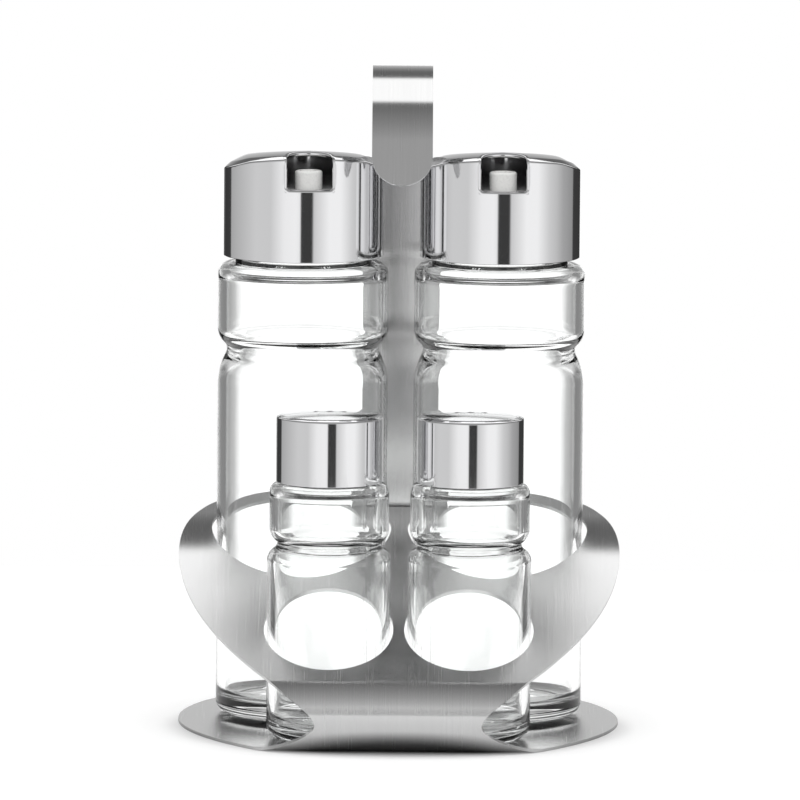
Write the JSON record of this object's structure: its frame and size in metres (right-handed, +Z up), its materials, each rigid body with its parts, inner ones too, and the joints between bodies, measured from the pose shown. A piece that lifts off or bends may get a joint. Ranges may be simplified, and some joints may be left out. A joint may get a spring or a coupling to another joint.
{
  "type": "cruet stand set",
  "caption": "Cruet stand folded from one steel sheet with a hooked handle, holding glass oil and vinegar bottles and glass salt and pepper shakers with screw-on steel caps.",
  "frame": {"origin": "centre of the set's outline on the table surface, under the base sheet", "axes": "+Z up, +X to the right seen from the front, +Y to the back; the front is the side with the rolled fold, the small shakers and the pouring slots"},
  "size_m": [0.1418, 0.1246, 0.2098],
  "materials": {
    "sheet_steel": "satin, upright grain",
    "polished_steel": "polished",
    "clear_glass": "clear",
    "grey_plastic": "satin",
    "white_plastic": "gloss",
    "seal_rubber": "matt"
  },
  "bodies": {
    "stand": {"stand_base": "sheet_steel", "stand_front_fold": "sheet_steel", "stand_holder_plate": "sheet_steel", "stand_handle": "sheet_steel"},
    "oil_bottle_body": {"oil_bottle": "clear_glass"},
    "oil_seal_body": {"oil_seal_ring": "seal_rubber"},
    "oil_cap_body": {"oil_cap_insert": "grey_plastic", "oil_pour_spout": "white_plastic", "oil_cap_shell": "polished_steel"},
    "vinegar_bottle_body": {"vinegar_bottle": "clear_glass"},
    "vinegar_seal_body": {"vinegar_seal_ring": "seal_rubber"},
    "vinegar_cap_body": {"vinegar_cap_insert": "grey_plastic", "vinegar_pour_spout": "white_plastic", "vinegar_cap_shell": "polished_steel"},
    "salt_jar_body": {"salt_jar": "clear_glass"},
    "salt_seal_body": {"salt_seal_ring": "seal_rubber"},
    "salt_cap_body": {"salt_cap_insert": "grey_plastic", "salt_cap_shell": "polished_steel"},
    "pepper_jar_body": {"pepper_jar": "clear_glass"},
    "pepper_seal_body": {"pepper_seal_ring": "seal_rubber"},
    "pepper_cap_body": {"pepper_cap_insert": "grey_plastic", "pepper_cap_shell": "polished_steel"}
  },
  "joints": [
    {"name": "oil_lift_out", "type": "hinge", "parent": "stand", "child": "oil_bottle_body", "pos_m": [-0.73165, 0.02482, 0.0289], "axis": [0, -1, 0], "range_deg": [0, 6]},
    {"name": "vinegar_lift_out", "type": "hinge", "parent": "stand", "child": "vinegar_bottle_body", "pos_m": [0.73165, 0.02482, 0.0289], "axis": [0, 1, 0], "range_deg": [0, 6]},
    {"name": "salt_lift_out", "type": "slide", "parent": "stand", "child": "salt_jar_body", "axis": [0, 0, 1], "range_m": [0, 0.06]},
    {"name": "pepper_lift_out", "type": "slide", "parent": "stand", "child": "pepper_jar_body", "axis": [0, 0, 1], "range_m": [0, 0.06]},
    {"name": "oil_cap_rise", "type": "slide", "parent": "oil_bottle_body", "child": "oil_seal_body", "axis": [0, 0, 1], "range_m": [0, 0.01052]},
    {"name": "oil_cap_unscrew", "type": "hinge", "parent": "oil_seal_body", "child": "oil_cap_body", "pos_m": [-0.03165, 0.02482, 0.1], "axis": [0, 0, 1], "range_deg": [0, 1080]},
    {"name": "vinegar_cap_rise", "type": "slide", "parent": "vinegar_bottle_body", "child": "vinegar_seal_body", "axis": [0, 0, 1], "range_m": [0, 0.01052]},
    {"name": "vinegar_cap_unscrew", "type": "hinge", "parent": "vinegar_seal_body", "child": "vinegar_cap_body", "pos_m": [0.03165, 0.02482, 0.1], "axis": [0, 0, 1], "range_deg": [0, 1080]},
    {"name": "salt_cap_rise", "type": "slide", "parent": "salt_jar_body", "child": "salt_seal_body", "axis": [0, 0, 1], "range_m": [0, 0.00902]},
    {"name": "salt_cap_unscrew", "type": "hinge", "parent": "salt_seal_body", "child": "salt_cap_body", "pos_m": [-0.02233, -0.03018, 0.1], "axis": [0, 0, 1], "range_deg": [0, 1080]},
    {"name": "pepper_cap_rise", "type": "slide", "parent": "pepper_jar_body", "child": "pepper_seal_body", "axis": [0, 0, 1], "range_m": [0, 0.00902]},
    {"name": "pepper_cap_unscrew", "type": "hinge", "parent": "pepper_seal_body", "child": "pepper_cap_body", "pos_m": [0.02233, -0.03018, 0.1], "axis": [0, 0, 1], "range_deg": [0, 1080]}
  ],
  "couplings": [
    {"joint": "oil_cap_rise", "follows": "oil_cap_unscrew", "m_per_rad": 0.00055704},
    {"joint": "vinegar_cap_rise", "follows": "vinegar_cap_unscrew", "m_per_rad": 0.00055704},
    {"joint": "salt_cap_rise", "follows": "salt_cap_unscrew", "m_per_rad": 0.00047746},
    {"joint": "pepper_cap_rise", "follows": "pepper_cap_unscrew", "m_per_rad": 0.00047746}
  ]
}
